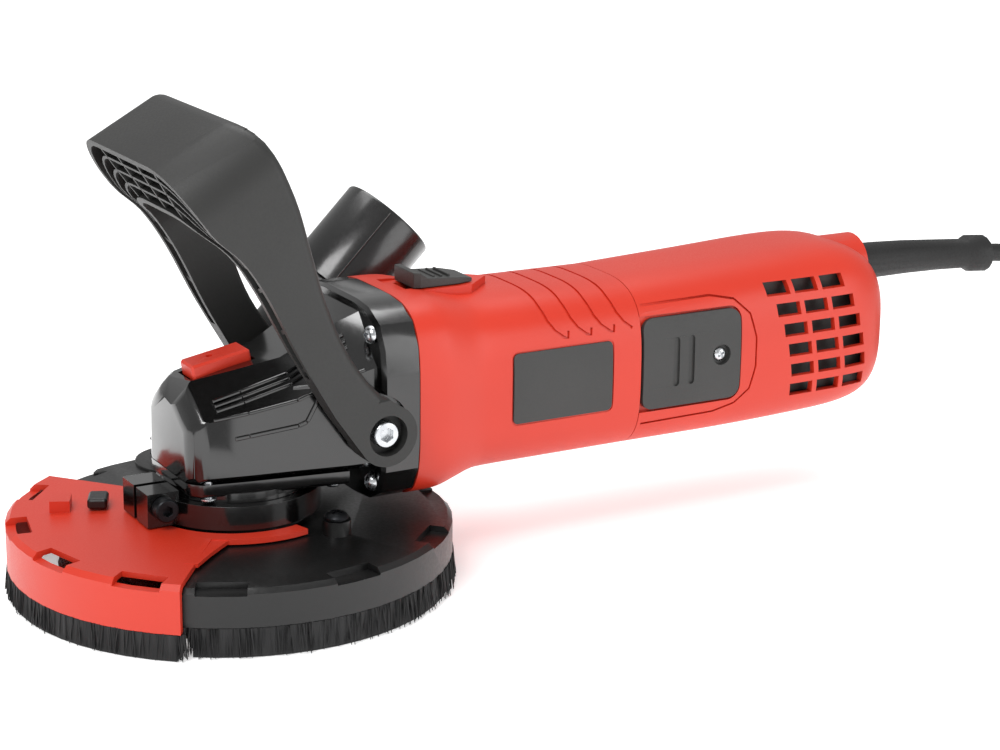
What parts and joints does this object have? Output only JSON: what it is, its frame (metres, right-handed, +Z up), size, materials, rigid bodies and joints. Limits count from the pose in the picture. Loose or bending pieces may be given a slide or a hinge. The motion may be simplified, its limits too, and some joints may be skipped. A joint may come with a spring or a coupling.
{
  "type": "concrete surface grinder",
  "caption": "Hand-held corded surface grinder with a diamond cup wheel in a brushed dust shroud, bail handle, vacuum outlet, slide switch and spindle lock.",
  "frame": {"origin": "on the surface that the brush ring rests on, below the centre of the tool's bounding box without its cord", "axes": "+X along the motor body towards the cord, +Y towards the dust outlet's side, +Z up along the spindle"},
  "size_m": [0.635, 0.1819, 0.1695],
  "materials": {
    "red_plastic": "satin moulded, orange-red",
    "grey_plastic": "satin moulded, dark grey",
    "handle_plastic": "matte moulded, dark grey",
    "gear_case_paint": "gloss black over cast metal",
    "shroud_plastic": "satin black",
    "bristles": "black nylon bristles",
    "zinc_steel": "bright zinc plated",
    "black_steel": "black oxide",
    "hardened_steel": "ground",
    "bearing_steel": "polished",
    "lamination_steel": "stacked laminations",
    "copper": "turned copper bars",
    "brass": "drawn brass",
    "carbon": "pressed carbon",
    "nylon": "natural glass-filled nylon",
    "wheel_steel": "grey enamel with a diamond rim",
    "cord_rubber": "matte black"
  },
  "bodies": {
    "tool_body": {"air_baffle": "grey_plastic", "armature_bearing_front": "bearing_steel", "armature_bearing_rear": "bearing_steel", "badge_left": "grey_plastic", "badge_right": "grey_plastic", "bearing_bracket": "nylon", "bearing_cover": "gear_case_paint", "bearing_cover_screw_1": "zinc_steel", "bearing_cover_screw_2": "zinc_steel", "bearing_cover_screw_3": "zinc_steel", "bearing_cover_screw_4": "zinc_steel", "brush_cover_left": "grey_plastic", "brush_cover_right": "grey_plastic", "brush_cover_screw_left": "zinc_steel", "brush_cover_screw_right": "zinc_steel", "brush_holder_left": "brass", "brush_holder_right": "brass", "brush_ring_rear": "bristles", "carbon_brush_left": "carbon", "carbon_brush_right": "carbon", "clamp_collar": "shroud_plastic", "clamp_screw": "black_steel", "cord_coil": "cord_rubber", "cord_tube": "cord_rubber", "gear_case": "gear_case_paint", "gear_case_screw_1": "zinc_steel", "gear_case_screw_2": "zinc_steel", "gear_case_screw_3": "zinc_steel", "gear_case_screw_4": "zinc_steel", "handle_bolt_left": "zinc_steel", "handle_bolt_right": "zinc_steel", "lock_spring": "zinc_steel", "motor_housing": "red_plastic", "plug": "cord_rubber", "rear_cover": "red_plastic", "shroud_rear": "shroud_plastic", "shroud_screw": "black_steel", "spindle_bearing": "bearing_steel", "spindle_bush": "brass", "stator": "lamination_steel", "strain_relief": "cord_rubber", "switch_block": "grey_plastic"},
    "drive_spindle": {"spindle": "hardened_steel", "crown_gear": "hardened_steel", "inner_flange": "hardened_steel", "flange_nut": "hardened_steel", "cup_wheel": "wheel_steel"},
    "armature": {"armature_shaft": "hardened_steel", "pinion": "hardened_steel", "armature_core": "lamination_steel", "commutator": "copper", "fan": "nylon"},
    "switch_slider": {"slide_switch": "grey_plastic", "switch_rod": "zinc_steel"},
    "lock_button": {"spindle_lock": "red_plastic"},
    "shroud_segment": {"shroud_front": "red_plastic", "brush_ring_front": "bristles"},
    "segment_latch": {"release_latch": "shroud_plastic"},
    "bail_handle": {"handle": "handle_plastic"},
    "hose_adaptor": {"dust_adaptor": "shroud_plastic"}
  },
  "joints": [
    {"name": "spindle_spin", "type": "hinge", "parent": "tool_body", "child": "drive_spindle", "pos_m": [-0.125, -0.0025, 0], "axis": [0, 0, 1], "continuous": true},
    {"name": "armature_spin", "type": "hinge", "parent": "tool_body", "child": "armature", "pos_m": [-0.125, -0.0025, 0.064], "axis": [1, 0, 0], "continuous": true},
    {"name": "switch_slide", "type": "slide", "parent": "tool_body", "child": "switch_slider", "axis": [-1, 0, 0], "range_m": [0, 0.005]},
    {"name": "spindle_lock_press", "type": "slide", "parent": "tool_body", "child": "lock_button", "axis": [0, 0, -1], "range_m": [0, 0.003], "stiffness_N_per_m": 400, "springref_m": -0.004, "deforming": ["lock_spring"]},
    {"name": "front_segment_swing", "type": "hinge", "parent": "tool_body", "child": "shroud_segment", "pos_m": [-0.125, -0.0025, 0], "axis": [0, 0, 1], "range_deg": [0, 45]},
    {"name": "release_latch_slide", "type": "slide", "parent": "shroud_segment", "child": "segment_latch", "axis": [-0.9107, 0.4131, 0], "range_m": [0, 0.003], "stiffness_N_per_m": 400, "springref_m": -0.002},
    {"name": "handle_tilt", "type": "hinge", "parent": "tool_body", "child": "bail_handle", "pos_m": [-0.0875, -0.0025, 0.059], "axis": [0, 1, 0], "range_deg": [-15, 20]},
    {"name": "adaptor_swivel", "type": "hinge", "parent": "tool_body", "child": "hose_adaptor", "pos_m": [-0.033, 0.061, 0.1085], "axis": [0.7071, 0, 0.7071], "range_deg": [-180, 180]}
  ],
  "couplings": [
    {"joint": "armature_spin", "follows": "spindle_spin", "ratio": 3}
  ]
}
